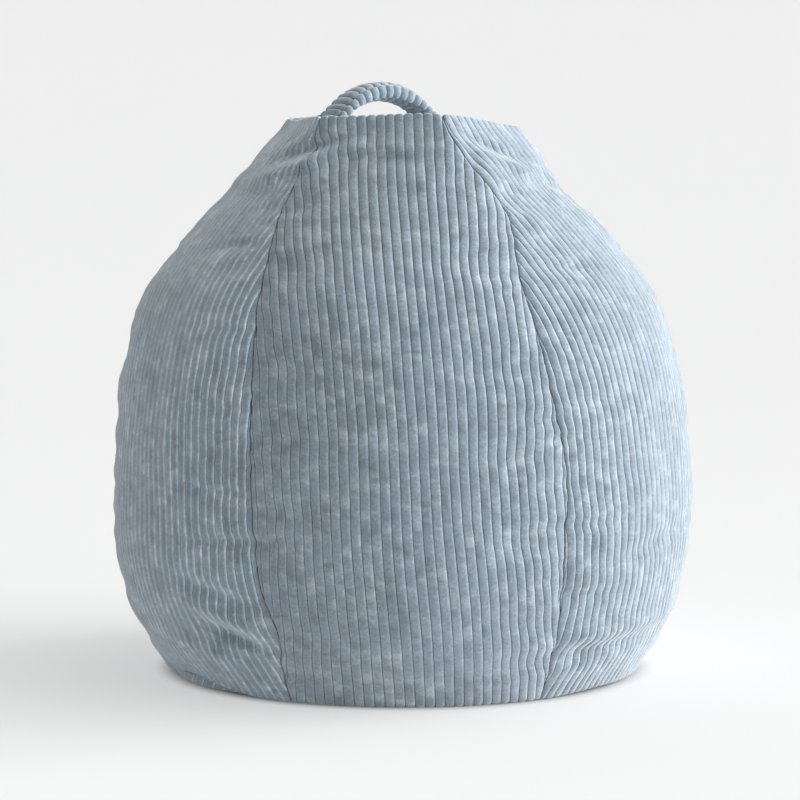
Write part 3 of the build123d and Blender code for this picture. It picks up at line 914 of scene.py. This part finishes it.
def studio():
    """A pale floor that curves up into a backdrop, soft light from the right, and the camera."""
    profile = [(-7.0, 0.0), (3.0, 0.0)]
    bend = 2.2
    profile += [
        (3.0 + bend * math.sin(t), bend - bend * math.cos(t))
        for t in np.linspace(0, math.pi / 2, 13)[1:]
    ]
    profile.append((3.0 + bend, 7.0))
    points = [(x, y, z) for x in (-9.0, 9.0) for y, z in profile]
    count = len(profile)
    faces = [(i, count + i, count + i + 1, i + 1) for i in range(count - 1)]
    material, nodes, links, shader = node_tree("studio_paper")
    shader.inputs["Base Color"].default_value = (FLOOR_TONE, FLOOR_TONE, FLOOR_TONE, 1)
    shader.inputs["Roughness"].default_value = 1.0
    shader.inputs["Specular IOR Level"].default_value = 0.0
    shader.inputs["Emission Color"].default_value = (1, 1, 1, 1)
    # A light table, with more lamps behind the backdrop. Painted shade: no glow under the bag.
    place = nodes.new("ShaderNodeTexCoord").outputs["Object"]
    split = nodes.new("ShaderNodeSeparateXYZ")
    links.new(place, split.inputs["Vector"])
    away = range_node(nodes, links, split.outputs["Y"], GLOW_RISE, FLOOR_GLOW, BACKDROP_GLOW)
    distance = nodes.new("ShaderNodeVectorMath")
    distance.operation = "LENGTH"
    links.new(place, distance.inputs[0])
    clear = range_node(nodes, links, distance.outputs["Value"], PAINTED_SHADE_UNDER, kind="SMOOTHSTEP")
    links.new(math_node(nodes, links, "MULTIPLY", away, clear), shader.inputs["Emission Strength"])
    add_object("backdrop", points, faces, material, None)

    world = bpy.data.worlds.new("softboxes")
    bpy.context.scene.world = world
    world.use_nodes = True
    nodes, links = world.node_tree.nodes, world.node_tree.links
    nodes.clear()
    direction = nodes.new("ShaderNodeTexCoord").outputs["Generated"]
    toward = nodes.new("ShaderNodeVectorMath")
    toward.operation = "DOT_PRODUCT"
    toward.inputs[1].default_value = Vector(WORLD_FROM).normalized()
    links.new(direction, toward.inputs[0])
    share = math_node(nodes, links, "MULTIPLY_ADD", toward.outputs["Value"], 0.5, 0.5)
    strength = ramp_node(nodes, links, share, WORLD_STOPS)
    background = nodes.new("ShaderNodeBackground")
    links.new(strength, background.inputs["Color"])
    background.inputs["Strength"].default_value = WORLD_STRENGTH
    output = nodes.new("ShaderNodeOutputWorld")
    links.new(background.outputs["Background"], output.inputs["Surface"])

    sun = bpy.data.lights.new("key", "SUN")
    sun.energy = KEY_STRENGTH
    sun.angle = math.radians(KEY_ANGLE)
    key = bpy.data.objects.new("key", sun)
    bpy.context.scene.collection.objects.link(key)
    key.rotation_euler = Vector(KEY_FROM).to_track_quat("Z", "Y").to_euler()

    lens = bpy.data.cameras.new("camera")
    lens.sensor_width = 36
    lens.lens = LENS
    camera = bpy.data.objects.new("camera", lens)
    camera.location = CAMERA_PLACE
    camera.rotation_euler = (math.radians(90 - CAMERA_TILT), 0, 0)
    bpy.context.scene.collection.objects.link(camera)
    bpy.context.scene.camera = camera
    bpy.context.scene.view_settings.view_transform = "Standard"


# ---------------------------------------------------------------- top and base panels
def top_panel():
    """The hexagonal top, sunk a little below the rim, its ribs running between two corners."""
    edge = 0.1185  # middle to a side
    corner = edge / math.cos(math.pi / 6)
    count = int(2 * edge / ROW_STEP)
    y = np.linspace(-edge, edge, count + 1)
    half = corner - np.abs(y) * math.tan(math.pi / 6)
    soft = RingNoise(17, 14, 0.05)

    def surface(distance):
        across = down_rows(y, distance.shape)
        gap = np.minimum(
            half[:, None] - np.abs(distance), (edge - np.abs(across)) / math.cos(math.pi / 6),
        )
        gap = np.maximum(gap, 0)
        radius = np.hypot(distance, across)
        azimuth = np.degrees(np.arctan2(distance, -across))
        wave = 0.0016 * soft(azimuth, radius * 3) * np.clip(radius / 0.04, 0, 1)
        lifts = np.minimum(around_total(RIM_LIFTS, azimuth + CAP_TWIST), 0)
        sag = lifts * np.clip(radius / edge, 0, 1.2) ** 1.5
        z = PANEL_LEVEL + 0.0004 + wave * np.clip(gap / 0.02, 0, 1)
        z = z + 0.0022 * bump(gap, 0.011) + 1.08 * sag
        z = z - RIB_HEIGHT * (1 - rounded(edge - np.abs(across), SEAM_ROUND))
        points = turned(np.stack([distance, across, z], -1), CAP_TWIST)
        return points, np.broadcast_to((0.0, 0.0, 1.0), points.shape)

    piece = ribbed_cloth(
        "corduroy_top", half, half, surface, y, 7, "cover", cloth=0.0012, skirt=0.002,
    )
    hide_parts("top_panel")


def base_panel(word, side, number):
    """Half of the round base, face down, with the hem beside the zip."""
    radius = BASE_RADIUS - 0.0085
    curl = 0.012
    slot, zip_half = 0.0082, 0.5 * ZIP_LENGTH
    start = math.asin(slot / radius)
    t = np.linspace(start, math.radians(87.5), int(radius * math.pi / 2 / ROW_STEP) + 1)
    y, half = radius * np.sin(t), radius * np.cos(t)

    def surface(distance):
        across = down_rows(y, distance.shape)
        beyond = np.clip((np.abs(distance) - zip_half) / 0.012, 0, 1)
        closing = (slot - 0.0004) * beyond**2 * (3 - 2 * beyond)
        across = across - closing * np.clip(1 - (across - slot) / 0.04, 0, 1)
        out = np.hypot(distance, across)
        azimuth = np.degrees(np.arctan2(-side * distance, -side * across))
        lift, share = around_total(BASE_LIFTS, azimuth), np.clip(1 - (radius - out) / curl, 0, 1)
        z = 0.0003 + (lift + 0.0016) * share**3
        pushed = 1 + 1.15 * lift * np.sin(0.75 * math.pi * share) / np.maximum(out, 0.01)
        z = z + 0.0012 * (1 - rounded(across - np.where(beyond > 0, 0.0004, slot), 0.003))
        points = np.stack([-side * distance * pushed, side * across * pushed, z], -1)
        return points, np.broadcast_to((0.0, 0.0, -1.0), points.shape)

    piece = ribbed_cloth(
        f"corduroy_base_{word}", half, half, surface, y, number, "cover",
        rib=0.0012, drop=0.0005, skirt=0.0012, cloth=0.0012,
    )
    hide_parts(f"base_panel_{word}")


# ---------------------------------------------------------------- handle
HANDLE_CENTRE = (-0.026, 0.0)
HANDLE_TURN = math.radians(40)
HANDLE_HALF_LENGTH = 0.082
HANDLE_HALF_WIDTH = 0.021
HANDLE_EDGE = 0.0078  # how far the stitched line runs in from the strap's edge
EDGE_SHARE = 0.80  # height of the rolled edge over the height of the crowned face
STITCH_DEPTH = 0.30  # how deep the stitched line pulls in, over half the strap's thickness
HANDLE_FATTENED = 0.0045  # the padding bulges this much below the CAD strap at the crown
# Faces of the strap above the panel: level of the flat end, level of the crown, half span and
# the radius of the bend at the foot
UPPER_FACE = (0.0061, 0.0440, 0.076, 0.008)
LOWER_FACE = (0.0004, 0.0260, 0.066, 0.012)


def arch_height(along, flat_level, crown, half_span, bend):
    """Height of one face of the strap at distances along it, as the CAD strap has it."""
    level = flat_level + bend
    rise = crown - level
    radius = (half_span**2 - bend**2 + rise**2) / (2 * (bend + rise))
    slope = math.atan2(half_span, level - (crown - radius))
    away = np.abs(along)
    arch = crown - radius + np.sqrt(np.maximum(radius**2 - away**2, 0))
    foot = level - np.sqrt(np.maximum(bend**2 - (half_span - away) ** 2, 0))
    inner = away < radius * math.sin(slope)
    return np.where(inner, arch, np.where(away < half_span, foot, flat_level))


def handle_loop():
    """Section of the strap: a crowned face, a stitched line and a fat rolled edge, all round.
    Returns places across, places up as a share of half the thickness, and how deep a rib's
    groove is there."""
    inner = HANDLE_HALF_WIDTH - HANDLE_EDGE
    face = np.linspace(-inner, inner, 17)
    crown = EDGE_SHARE + (1 - EDGE_SHARE) * np.cos(math.pi * face / (2 * inner)) ** 0.7
    stitched = STITCH_DEPTH * (bump(face - inner, 0.0023) + bump(face + inner, 0.0023))
    angle = np.linspace(math.pi / 2, -math.pi / 2, 17)[1:-1]
    edge = inner + HANDLE_EDGE * np.cos(angle)
    roll = EDGE_SHARE * np.sin(angle) * (1 - STITCH_DEPTH / EDGE_SHARE * bump(edge - inner, 0.0023))
    across = np.concatenate([face, edge, face[::-1], -edge])
    up = np.concatenate([crown - stitched, roll, stitched - crown, -roll])
    depth = np.concatenate(
        [0 * face + 1.15, 1.15 + 0.6 * np.cos(angle), 0 * face + 1.15, 1.15 + 0.6 * np.cos(angle)]
    )
    return across, up, depth


def handle_line():
    """The strap's middle line: distance along it, place along the chord, level, lean and
    thickness."""
    fine = np.linspace(-HANDLE_HALF_LENGTH, HANDLE_HALF_LENGTH, 1600)
    upper, lower = arch_height(fine, *UPPER_FACE), arch_height(fine, *LOWER_FACE)
    kernel = np.hanning(61) / np.hanning(61).sum()
    middle = np.convolve(np.pad((upper + lower) / 2, 30, mode="edge"), kernel, "valid")
    tall = np.convolve(np.pad(upper - lower, 30, mode="edge"), kernel, "valid")
    lean = np.arctan(np.gradient(middle, fine))
    length = np.concatenate([[0], np.cumsum(np.hypot(np.diff(fine), np.diff(middle)))])
    fattened = HANDLE_FATTENED * np.clip(1.25 * np.cos(math.pi * fine / (2 * 0.070)), 0, 1)
    level, thick = middle - 0.5 * fattened, tall * np.cos(lean) + fattened
    return length - length[-1] / 2, fine, level, lean, thick


def swept_handle(name, places, across, up, inset, sink, material, attributes):
    """A closed piece along the strap's middle line. sink[place, round] is how far it is let in."""
    length, chord, middle, slant, thick = handle_line()
    along, level, lean, thickness = (
        np.interp(places, length, each) for each in (chord, middle, slant, thick)
    )
    count, rows = len(across), len(places)
    section_x = np.broadcast_to(across, (rows, count))
    section_z = up[None] * (thickness[:, None] / 2 - inset)
    tangent_x = np.roll(section_x, -1, 1) - np.roll(section_x, 1, 1)
    tangent_z = np.roll(section_z, -1, 1) - np.roll(section_z, 1, 1)
    normal = unit(np.stack([-tangent_z, tangent_x], -1))
    section_x = section_x - normal[..., 0] * sink
    section_z = section_z - normal[..., 1] * sink
    x = along[:, None] - np.sin(lean)[:, None] * section_z
    z = PANEL_LEVEL + level[:, None] + np.cos(lean)[:, None] * section_z
    c, s = math.cos(HANDLE_TURN), math.sin(HANDLE_TURN)
    points = np.stack([
        HANDLE_CENTRE[0] + x * c + section_x * s,
        HANDLE_CENTRE[1] + x * s - section_x * c,
        z + 0 * section_x,
    ], -1)
    everything = np.concatenate([points.reshape(-1, 3), [points[0].mean(0), points[-1].mean(0)]])
    return add_object(name, everything, closed_tube(rows, count), material, None, attributes)


def blend_handle(piece):
    """Bakes the piece's placing into its mesh."""
    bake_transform(piece)


def handle():
    """The padded strap, one piece from end to end, with its ribs across it, and its wadding."""
    reach = handle_line()[0][-1]
    places, ribs, shares = rib_columns(reach)
    keep = np.abs(places) < reach - 0.001
    places, ribs, shares = places[keep], ribs[keep], shares[keep]
    across, up, depth = handle_loop()
    count = len(across)
    rng = np.random.default_rng(41)
    wobble = 0.0009 * spline_sample(
        rng.uniform(-1, 1, (ribs.max() - ribs.min() + 3, 9)),
        np.repeat((ribs - ribs.min() + 0.0)[:, None], count, 1),
        np.repeat(np.linspace(0, 7, count)[None], len(ribs), 0),
    )
    raised = rib_height(shares)
    sink = RIB_HEIGHT * depth[None] * (1 - raised[:, None]) - wobble
    around = np.concatenate([[0], np.cumsum(np.hypot(np.diff(across), np.diff(up * 0.009)))])
    weave = np.stack([
        np.repeat(places, count) + 9 * PATTERN_STEP,
        np.tile(around, len(places)),
        np.repeat(ribs, count) * RIB_STEP_OFF,
    ], -1)
    away = np.abs(across) - (HANDLE_HALF_WIDTH - HANDLE_EDGE)
    # Painted shade for the rib attribute: darker down in each groove and along the stitched lines
    tone = (raised[:, None] * (1 - 0.55 * bump(away, 0.0013))[None]).ravel()
    strap = swept_handle(
        "corduroy_handle", places, across, up, 0.0, sink, CORDUROY,
        {"cloth": np.concatenate([weave, weave[:2]]), "rib": np.concatenate([tone, [0.5, 0.5]])},
    )
    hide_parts("handle_strap", "handle_end_left", "handle_end_right")
    blend_handle(strap)

    angle = np.linspace(0, -2 * math.pi, 29)[:-1]
    half = HANDLE_HALF_WIDTH - 0.0065
    across = half * np.sign(np.cos(angle)) * np.abs(np.cos(angle)) ** 0.6
    up = 0.92 * np.sign(np.sin(angle)) * np.abs(np.sin(angle)) ** 0.8
    places = np.linspace(-0.052, 0.052, 60)
    lumps = np.random.default_rng(43).uniform(0, 0.0007, (len(places), len(angle)))
    taper = 0.003 * np.clip(np.abs(places) / 0.052 - 0.85, 0, 1)[:, None] / 0.15
    wadding = swept_handle(
        "handle_wadding", places, across, up, 0.0052, lumps + taper, WADDING, None,
    )
    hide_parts("handle_padding")
    blend_handle(wadding)


# ---------------------------------------------------------------- other materials
def woven_material(name, light, dark, thread, roughness):
    """Plain woven cloth: two crossing sets of threads, at a pitch in metres."""
    material, nodes, links, shader = node_tree(name)
    place = nodes.new("ShaderNodeTexCoord").outputs["Object"]
    heights = []
    for axis in ("X", "Y"):
        wave = nodes.new("ShaderNodeTexWave")
        wave.bands_direction = axis
        wave.inputs["Scale"].default_value = 0.314 / thread
        wave.inputs["Distortion"].default_value = 0.6
        wave.inputs["Detail"].default_value = 1.0
        links.new(place, wave.inputs["Vector"])
        heights.append(wave.outputs["Fac"])
    both = math_node(nodes, links, "MAXIMUM", *heights)
    patches = noise_node(nodes, links, place, 26.0, 4.0)
    patchy = ramp_node(nodes, links, patches, [(0.35, 0.0), (0.7, 1.0)])
    colour = mix_node(nodes, links, "MIX", patchy, dark, light)
    threads = ramp_node(nodes, links, both, [(0.2, 0.78), (0.8, 1.0)])
    links.new(mix_node(nodes, links, "MULTIPLY", 1.0, colour, threads), shader.inputs["Base Color"])
    links.new(bump_node(nodes, links, both, thread * 0.4, 0.7), shader.inputs["Normal"])
    shader.inputs["Roughness"].default_value = roughness
    shader.inputs["Sheen Weight"].default_value = 0.2
    return material


def speckled_material(name, light, dark, scale, roughness, bump_height, metallic=0.0, cells=False):
    """A moulded, cast or fibrous surface, uneven in tone and height."""
    material, nodes, links, shader = node_tree(name)
    place = nodes.new("ShaderNodeTexCoord").outputs["Object"]
    factor = noise_node(nodes, links, place, scale, 4.0)
    if cells:
        # Beads pale in their middles and darker towards their edges: painted shade between the
        # beads
        beads = nodes.new("ShaderNodeTexVoronoi")
        beads.inputs["Scale"].default_value = scale
        links.new(place, beads.inputs["Vector"])
        factor = ramp_node(
            nodes, links, beads.outputs["Distance"], [(0.0, 1.0), (0.35, 0.85), (0.62, 0.0)],
        )
    spread = ramp_node(nodes, links, factor, [(0.25, 0.0), (0.75, 1.0)])
    colour = mix_node(nodes, links, "MIX", spread, dark, light)
    links.new(colour, shader.inputs["Base Color"])
    links.new(bump_node(nodes, links, factor, bump_height, 0.8), shader.inputs["Normal"])
    rough = ramp_node(nodes, links, factor, [(0.2, roughness + 0.12), (0.8, roughness)])
    links.new(rough, shader.inputs["Roughness"])
    shader.inputs["Metallic"].default_value = metallic
    return material


LINER_CLOTH = woven_material("liner_cloth", (0.78, 0.78, 0.76), (0.70, 0.70, 0.685), 0.0006, 0.75)
ZIP_TAPE = woven_material("zip_tape", (0.235, 0.310, 0.375), (0.200, 0.270, 0.330), 0.0009, 0.8)
LINER_ZIP_TAPE = woven_material(
    "liner_zip_tape", (0.74, 0.74, 0.72), (0.66, 0.66, 0.64), 0.0009, 0.8,
)
ZIP_COIL = speckled_material(
    "zip_coil", (0.230, 0.300, 0.360), (0.190, 0.255, 0.310), 900.0, 0.38, 0.00004,
)
LINER_ZIP_COIL = speckled_material(
    "liner_zip_coil", (0.76, 0.76, 0.74), (0.68, 0.68, 0.66), 900.0, 0.38, 0.00004,
)
ZIP_METAL = speckled_material(
    "zip_metal", (0.62, 0.61, 0.59), (0.48, 0.47, 0.45), 700.0, 0.30, 0.00003, metallic=1.0,
)
WADDING = speckled_material("wadding", (0.83, 0.83, 0.81), (0.66, 0.66, 0.65), 420.0, 0.95, 0.0010)
FOAM_BEADS = speckled_material(
    "foam_beads", (0.90, 0.90, 0.89), (0.50, 0.50, 0.50), 210.0, 0.55, 0.0018, cells=True,
)


# ---------------------------------------------------------------- liner, beads and zips
LINER_DEPTH = 0.0140  # from the cover's plain shape in to the liner
FILL_DEPTH = 0.0175
LINER_SHEET = 0.0010
CREASES = RingNoise(23, 64, 0.05)
BAGGINESS = RingNoise(29, 20, 0.10)


def inner_ring(grids, depth):
    """The cover's shape set in by a depth, as a closed ring: ring[around, up]."""
    ring = np.concatenate([g[:-1] for g in grids])
    around = np.roll(ring, -1, 0) - np.roll(ring, 1, 0)
    upward = np.gradient(ring, axis=1)
    return ring - unit(np.cross(around, upward)) * depth


def slab(name, outer, thickness, inward, material, replaced):
    """A thin closed sheet: outer[across, up] and the same again a thickness along inward."""
    n, m = outer.shape[:2]
    points = np.concatenate([outer.reshape(-1, 3), (outer + inward * thickness).reshape(-1, 3)])
    index = np.arange(n * m).reshape(n, m)
    faces = sheet_faces(index) + sheet_faces(index + n * m, flip=True)
    border = np.concatenate([index[:, 0], index[-1, 1:], index[-2::-1, -1], index[0, -2::-1]])
    for a, b in zip(border[:-1], border[1:]):
        faces.append((int(b), int(a), int(a) + n * m, int(b) + n * m))
    piece = add_object(name, points, faces, material, "cover")
    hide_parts(replaced)
    return piece


def liner(grids):
    """The white inner bag: six slack gores, a top and two base halves beside its zip."""
    ring = inner_ring(grids, LINER_DEPTH)
    u, v = np.meshgrid(np.linspace(0.06, ACROSS - 0.06, 49), np.linspace(0, UP, 121), indexing="ij")
    for number, place in enumerate(DIRECTIONS):
        part = np.take(ring, range(number * ACROSS, (number + 1) * ACROSS + 1), axis=0, mode="wrap")
        points = spline_sample(part, u, v)
        azimuth = azimuth_of(points)
        out = unit(points * (1, 1, 0))
        slack = np.clip(np.minimum(v, UP - v) / 6, 0, 1)
        height = points[..., 2]
        wave = 0.0011 * CREASES(azimuth, height) + 0.0016 * BAGGINESS(azimuth, height)
        points = points + out * (wave * slack)[..., None]
        slab(
            f"liner_cloth_{place}", points, LINER_SHEET, -out, LINER_CLOTH,
            f"liner_gore_{place}",
        )

    rim = ring[:, -1]
    half = len(rim) // 2
    fan = np.linspace(-1, 1, 41)
    start, end = rim[: half + 1], rim[(-np.arange(half + 1)) % len(rim)]
    mix = (fan[:, None, None] + 1) / 2
    top = start[None] * (1 - mix) + end[None] * mix
    reach = np.hypot(top[..., 0], top[..., 1])
    middle = np.clip((0.10 - reach) / 0.03, 0, 1)
    top[..., 2] += 0.0012 * CREASES(azimuth_of(top), reach * 2) * middle
    slab(
        "liner_cloth_top", top[:, 1:-1], LINER_SHEET, np.array([0, 0, -1.0]), LINER_CLOTH,
        "liner_top",
    )

    foot = ring[:, 0]
    radius, level = float(np.hypot(foot[:, 0], foot[:, 1]).min()) - 0.001, float(foot[:, 2].mean())
    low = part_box("liner_base_front")[0]
    for word, side in (("front", -1), ("back", 1)):
        y = np.linspace(0.0082, radius * 0.999, 40)
        x = np.linspace(-1, 1, 81)[:, None] * np.sqrt(radius**2 - y**2)[None]
        across = np.broadcast_to(y, x.shape)
        out = np.hypot(x, across) / radius
        azimuth = np.degrees(np.arctan2(x, -side * across))
        ripple = 0.0007 * BAGGINESS(azimuth, 0.5 * out) * (1 - out)
        rise = (level - low.z - 0.001) * np.clip((out - 0.93) / 0.07, 0, 1) ** 2
        z = low.z + 0.001 + rise + ripple
        base = np.stack([-side * x, side * across, z], -1)
        slab(
            f"liner_cloth_base_{word}", base, LINER_SHEET, np.array([0, 0, 1.0]), LINER_CLOTH,
            f"liner_base_{word}",
        )


def beads(grids):
    """The heap of foam beads, packed up against the liner."""
    ring = inner_ring(grids, FILL_DEPTH)
    low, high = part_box("bead_fill")
    around = len(ring)
    u, v = np.meshgrid(np.arange(around * 2) / 2, np.linspace(1.2, UP - 1.0, 140), indexing="ij")
    wrapped = np.concatenate([ring, ring[:2]])
    points = spline_sample(wrapped, u, v)
    azimuth = azimuth_of(points)
    rng = np.random.default_rng(31)
    grain = rng.uniform(-0.0009, 0.0009, points.shape[:2])
    wave = 0.0009 * BAGGINESS(azimuth, points[..., 2]) + grain - 0.0009
    points = points + unit(points * (1, 1, 0)) * wave[..., None]
    points[..., 2] = np.clip(points[..., 2], low.z + 0.0005, high.z - 0.0035)
    n, m = points.shape[:2]
    rings, centres = [points.transpose(1, 0, 2)], []
    for end in (0, m - 1):
        edge = points[:, end]
        level = low.z + 0.0005 if end == 0 else edge[:, 2].min() - 0.0015
        fans = []
        for share in np.linspace(1, 0, 24)[1:-1]:
            loop = edge * (share, share, 0)
            loop[:, 2] = level + (edge[:, 2] - level) * share**6 + rng.uniform(-0.0006, 0.0006, n)
            fans.append(loop)
        centres.append((0, 0, level))
        rings = [np.array(fans[::-1]), *rings] if end == 0 else [*rings, np.array(fans)]
    loops = np.concatenate(rings)
    everything = np.concatenate([loops.reshape(-1, 3), centres])
    faces = closed_tube(len(loops), len(points))
    piece = add_object("foam_beads", everything, faces, FOAM_BEADS, "cover")
    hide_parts("bead_fill")


COIL_PITCH = 0.00145
COIL_WIRE = 0.00034  # radius of the coil's monofilament


def zip_coil(node, side, material):
    """One row of zip teeth: a monofilament wound in a flattened coil, which meshes with the other
    row half a turn on."""
    low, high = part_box(node)
    turns = int((high.x - low.x - 0.002) / COIL_PITCH)
    t = np.arange(turns * 12 + 1) / 12
    reach = (high.y - low.y) / 2 - COIL_WIRE + 0.00035
    middle_y, middle_z = (high.y + low.y) / 2 - side * 0.00035, (high.z + low.z) / 2
    angle = 2 * math.pi * t
    half_z = (high.z - low.z) / 2 - COIL_WIRE
    start = low.x + 0.001 + (COIL_PITCH / 2 if side < 0 else 0)
    line = np.stack([
        start + COIL_PITCH * t,
        middle_y + reach * np.cos(angle),
        middle_z + half_z * np.sign(np.sin(angle)) * np.abs(np.sin(angle)) ** 0.7,
    ], -1)
    line = line[line[:, 0] < high.x - 0.0005]
    tangent = unit(np.gradient(line, axis=0))
    first = unit(np.cross(tangent, (1.0, 0.0, 0.0)))
    second = np.cross(tangent, first)
    sides = 6
    turn = np.arange(sides) * 2 * math.pi / sides
    tube = line[:, None] + COIL_WIRE * (
        first[:, None] * np.cos(turn)[None, :, None] + second[:, None] * np.sin(turn)[None, :, None]
    )
    n = len(line)
    faces = sheet_faces(tube_index(n, sides))
    faces += [tuple(range(sides)), tuple(range((n - 1) * sides, n * sides))[::-1]]
    piece = add_object(f"wound_{node}", tube.reshape(-1, 3), faces, material, "cover")
    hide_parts(node)


def dress(nodes, material):
    """Gives CAD nodes their material."""
    for node in nodes:
        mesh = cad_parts[node].data
        mesh.materials.clear()
        mesh.materials.append(material)


ZIP_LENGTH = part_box("zip_tape_front")[1].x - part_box("zip_tape_front")[0].x
studio()
plain_front = front_grid()
plain_grids = [slumped(turned(plain_front, a)) for a in DIRECTIONS.values()]
seam_normals = edge_normals(plain_grids)
grids = plain_grids
grids = [plain + wrinkles(moved) for plain, moved in zip(plain_grids, simulated(plain_grids))]
for gore_number, gore_place in enumerate(DIRECTIONS):
    gore(gore_number, gore_place, grids[gore_number], plain_grids[gore_number], seam_normals)

top_panel()
base_panel("front", -1, 8)
base_panel("back", 1, 9)
handle()
liner(plain_grids)
beads(plain_grids)
for prefix, coil_material, tape_material in (
    ("", ZIP_COIL, ZIP_TAPE), ("liner_", LINER_ZIP_COIL, LINER_ZIP_TAPE),
):
    for word, side in (("front", -1), ("back", 1)):
        zip_coil(f"{prefix}zip_coil_{word}", side, coil_material)
        dress([f"{prefix}zip_tape_{word}"], tape_material)
    dress([f"{prefix}zip_stop_left", f"{prefix}zip_stop_right"], coil_material)
    dress([f"{prefix}zip_slider"], ZIP_METAL)
